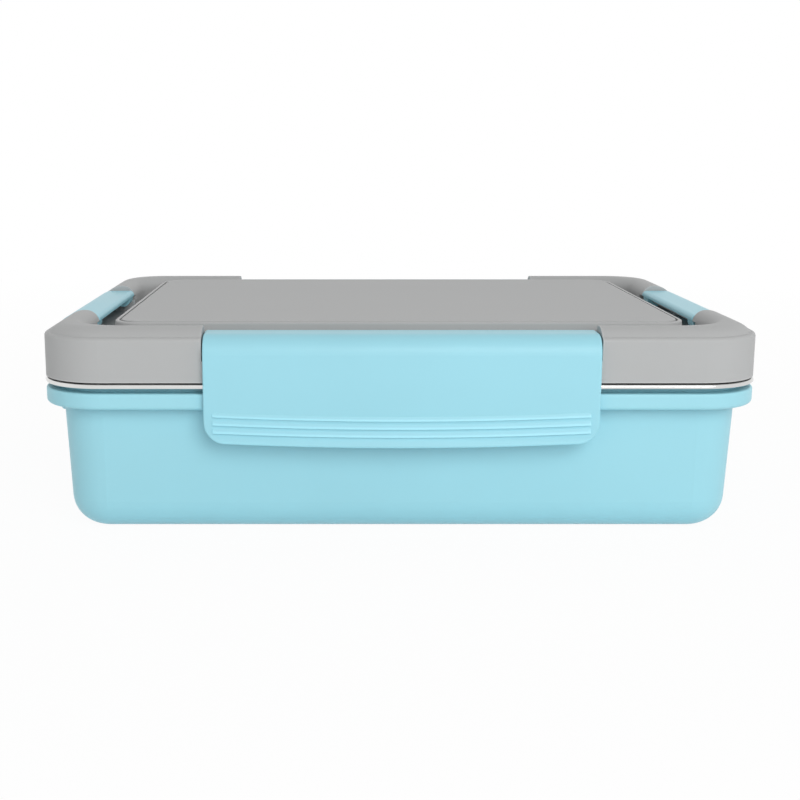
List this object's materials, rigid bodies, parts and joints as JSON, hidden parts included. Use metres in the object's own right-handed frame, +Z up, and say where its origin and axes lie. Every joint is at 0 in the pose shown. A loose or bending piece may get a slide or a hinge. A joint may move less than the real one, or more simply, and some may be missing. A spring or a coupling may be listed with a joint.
{
  "type": "lunch box",
  "caption": "Flat rectangular lunch box with a moulded tub, a lift-out steel tray, and a sealed lid held down by snap clips hinged on its edges.",
  "frame": {"origin": "middle of the flat base, on the table", "axes": "+X along the long side, to the right as the front clip is faced; +Y towards the rear clip; +Z up"},
  "size_m": [0.2794, 0.2084, 0.0799],
  "materials": {
    "shell_plastic": "satin moulded polypropylene, light blue",
    "tray_steel": "polished pressed stainless steel",
    "lid_plastic": "satin moulded polypropylene, light grey",
    "seal_silicone": "matt translucent white silicone",
    "clip_plastic": "semi-gloss moulded polypropylene, light blue",
    "pin_steel": "drawn stainless rod"
  },
  "bodies": {
    "shell": {"outer_shell": "shell_plastic"},
    "tray": {"food_tray": "tray_steel"},
    "lid": {"lid": "lid_plastic", "lid_seal": "seal_silicone", "front_hinge_pin": "pin_steel", "rear_hinge_pin": "pin_steel", "left_hinge_pin": "pin_steel", "right_hinge_pin": "pin_steel"},
    "front_clip": {"front_clip": "clip_plastic"},
    "rear_clip": {"rear_clip": "clip_plastic"},
    "left_clip": {"left_clip": "clip_plastic"},
    "right_clip": {"right_clip": "clip_plastic"}
  },
  "joints": [
    {"name": "tray_lift", "type": "slide", "parent": "shell", "child": "tray", "axis": [0, 0, 1], "range_m": [0, 0.08]},
    {"name": "lid_lift", "type": "slide", "parent": "tray", "child": "lid", "axis": [0, 0, 1], "range_m": [0, 0.09]},
    {"name": "front_clip_hinge", "type": "hinge", "parent": "lid", "child": "front_clip", "pos_m": [0, -0.0895, 0.0743], "axis": [-1, 0, 0], "range_deg": [0, 110]},
    {"name": "rear_clip_hinge", "type": "hinge", "parent": "lid", "child": "rear_clip", "pos_m": [0, 0.0895, 0.0743], "axis": [1, 0, 0], "range_deg": [0, 110]},
    {"name": "left_clip_hinge", "type": "hinge", "parent": "lid", "child": "left_clip", "pos_m": [-0.125, 0, 0.0743], "axis": [0, 1, 0], "range_deg": [0, 110]},
    {"name": "right_clip_hinge", "type": "hinge", "parent": "lid", "child": "right_clip", "pos_m": [0.125, 0, 0.0743], "axis": [0, -1, 0], "range_deg": [0, 110]}
  ]
}
